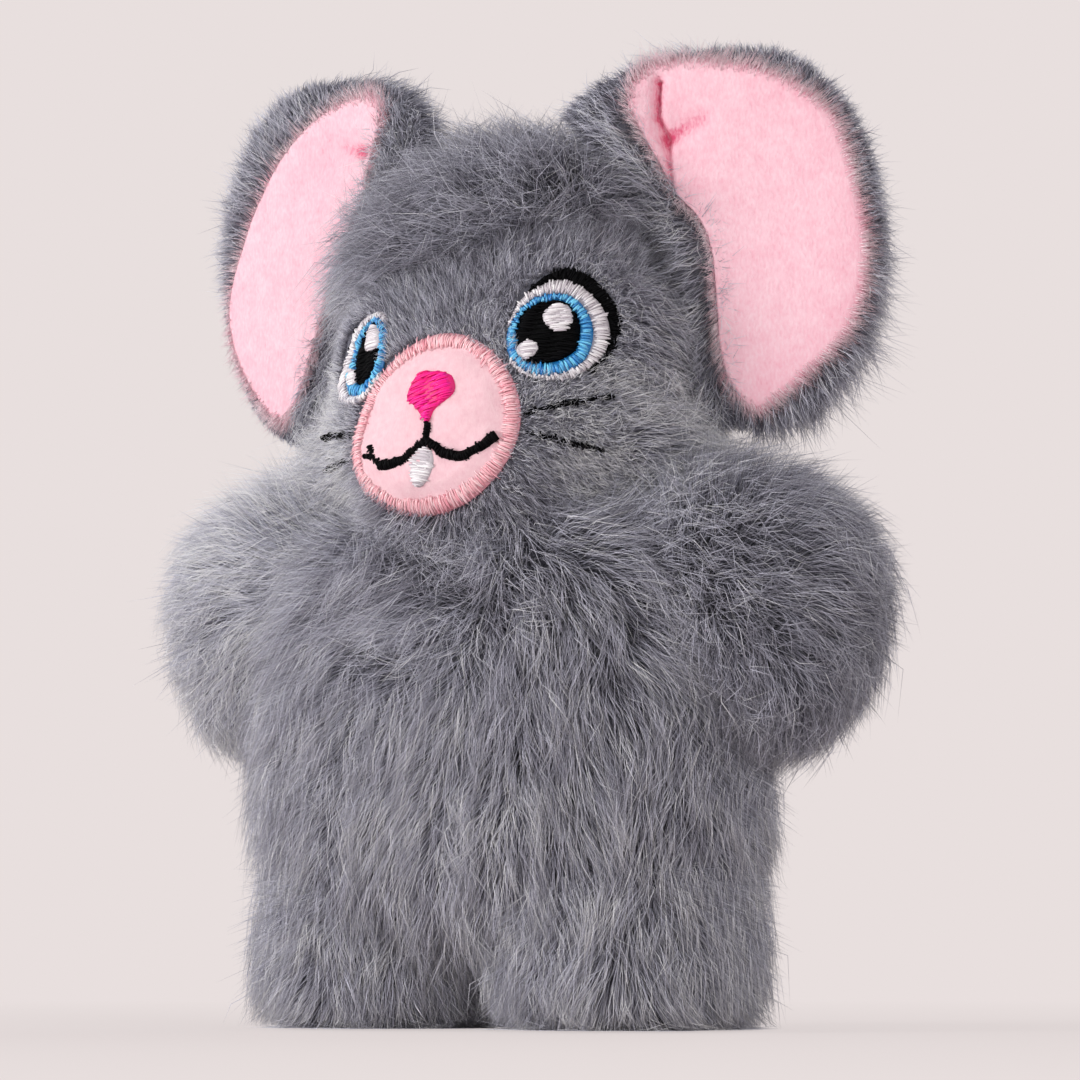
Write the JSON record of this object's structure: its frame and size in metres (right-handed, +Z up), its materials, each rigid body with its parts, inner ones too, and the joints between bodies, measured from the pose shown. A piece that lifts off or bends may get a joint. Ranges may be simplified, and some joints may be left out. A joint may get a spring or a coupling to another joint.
{
  "type": "stuffed mouse cat toy",
  "caption": "Small stuffed plush mouse for a cat, standing on flat soles, with big lined ears that fold at their seams and an embroidered face.",
  "frame": {"origin": "on the floor between the two soles, under the middle of the toy's box", "axes": "+Z up, the face looks towards -Y, the toy's left side is +X"},
  "size_m": [0.0976, 0.0413, 0.1212],
  "materials": {
    "grey_plush": "long-pile plush, combed",
    "pink_lining": "short-pile plush",
    "pink_felt": "felt",
    "pink_thread": "satin stitch",
    "magenta_thread": "satin stitch",
    "black_thread": "satin stitch",
    "white_thread": "satin stitch",
    "blue_thread": "satin stitch",
    "polyester_fibre": "loose fibre fill",
    "cotton_pouch": "woven cotton"
  },
  "bodies": {
    "toy_body": {"torso_front_panel": "grey_plush", "torso_back_panel": "grey_plush", "head_front_panel": "grey_plush", "head_back_panel": "grey_plush", "arm_left_cover": "grey_plush", "arm_right_cover": "grey_plush", "leg_left_cover": "grey_plush", "leg_right_cover": "grey_plush", "muzzle_patch": "pink_felt", "muzzle_border": "pink_thread", "nose_stitching": "magenta_thread", "mouth_stitching": "black_thread", "eye_left_lid": "black_thread", "eye_left_pupil": "black_thread", "eye_right_lid": "black_thread", "eye_right_pupil": "black_thread", "whisker_left_upper": "black_thread", "whisker_left_lower": "black_thread", "whisker_right_upper": "black_thread", "whisker_right_lower": "black_thread", "tooth_stitching": "white_thread", "eye_left_white": "white_thread", "eye_left_large_glint": "white_thread", "eye_left_small_glint": "white_thread", "eye_right_white": "white_thread", "eye_right_large_glint": "white_thread", "eye_right_small_glint": "white_thread", "eye_left_iris": "blue_thread", "eye_right_iris": "blue_thread", "torso_stuffing": "polyester_fibre", "head_stuffing": "polyester_fibre", "arm_left_stuffing": "polyester_fibre", "arm_right_stuffing": "polyester_fibre", "leg_left_stuffing": "polyester_fibre", "leg_right_stuffing": "polyester_fibre", "catnip_pouch": "cotton_pouch"},
    "ear_left": {"ear_left_back": "grey_plush", "ear_left_lining": "pink_lining"},
    "ear_right": {"ear_right_back": "grey_plush", "ear_right_lining": "pink_lining"}
  },
  "joints": [
    {"name": "ear_left_fold", "type": "hinge", "parent": "toy_body", "child": "ear_left", "pos_m": [0.022, 0.005, 0.076], "axis": [0.3709, 0.053, -0.9272], "range_deg": [-20, 25], "stiffness_Nm_per_rad": 0.01},
    {"name": "ear_right_fold", "type": "hinge", "parent": "toy_body", "child": "ear_right", "pos_m": [-0.022, 0.005, 0.076], "axis": [0.3709, -0.053, 0.9272], "range_deg": [-20, 25], "stiffness_Nm_per_rad": 0.01}
  ]
}
